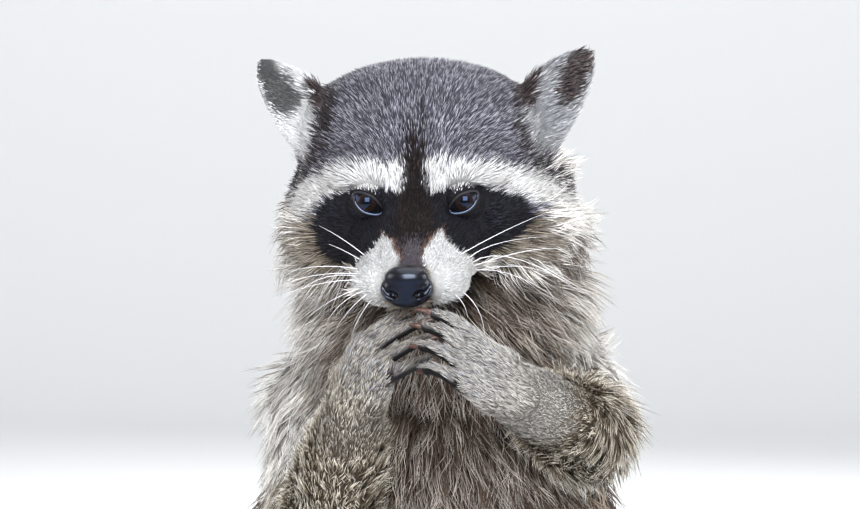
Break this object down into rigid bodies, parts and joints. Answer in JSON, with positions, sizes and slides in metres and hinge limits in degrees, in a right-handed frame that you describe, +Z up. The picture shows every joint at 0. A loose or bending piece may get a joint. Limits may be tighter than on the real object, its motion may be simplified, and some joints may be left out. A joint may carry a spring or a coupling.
{
  "type": "raccoon",
  "caption": "Life-size still model of an adult raccoon sitting upright with its hands held together under its nose and its ringed tail round its side.",
  "frame": {"origin": "on the floor, at the middle of the small flat that the rump sits on", "axes": "+Z up, the raccoon looks along -Y, so +X is its own left"},
  "size_m": [0.3409, 0.3342, 0.4376],
  "materials": {
    "grey_coat": "grizzled fur",
    "ringed_coat": "fur in dark and pale rings",
    "nose_leather": "moist black leather",
    "eye_gloss": "wet and glossy",
    "horn": "satin horn"
  },
  "bodies": {
    "root": {"head": "grey_coat", "nose": "nose_leather", "ear_left": "grey_coat", "eye_left": "eye_gloss", "ear_right": "grey_coat", "eye_right": "eye_gloss", "neck": "grey_coat", "trunk": "grey_coat", "tail_1": "ringed_coat", "tail_2": "ringed_coat", "tail_3": "ringed_coat", "upper_arm_left": "grey_coat", "forearm_left": "grey_coat", "hand_left": "grey_coat", "hand_left_claw_1": "horn", "hand_left_claw_2": "horn", "hand_left_claw_3": "horn", "hand_left_claw_4": "horn", "hand_left_claw_5": "horn", "thigh_left": "grey_coat", "shin_left": "grey_coat", "foot_left": "grey_coat", "foot_left_claw_1": "horn", "foot_left_claw_2": "horn", "foot_left_claw_3": "horn", "foot_left_claw_4": "horn", "foot_left_claw_5": "horn", "upper_arm_right": "grey_coat", "forearm_right": "grey_coat", "hand_right": "grey_coat", "hand_right_claw_1": "horn", "hand_right_claw_2": "horn", "hand_right_claw_3": "horn", "hand_right_claw_4": "horn", "hand_right_claw_5": "horn", "thigh_right": "grey_coat", "shin_right": "grey_coat", "foot_right": "grey_coat", "foot_right_claw_1": "horn", "foot_right_claw_2": "horn", "foot_right_claw_3": "horn", "foot_right_claw_4": "horn", "foot_right_claw_5": "horn"}
  },
  "joints": []
}
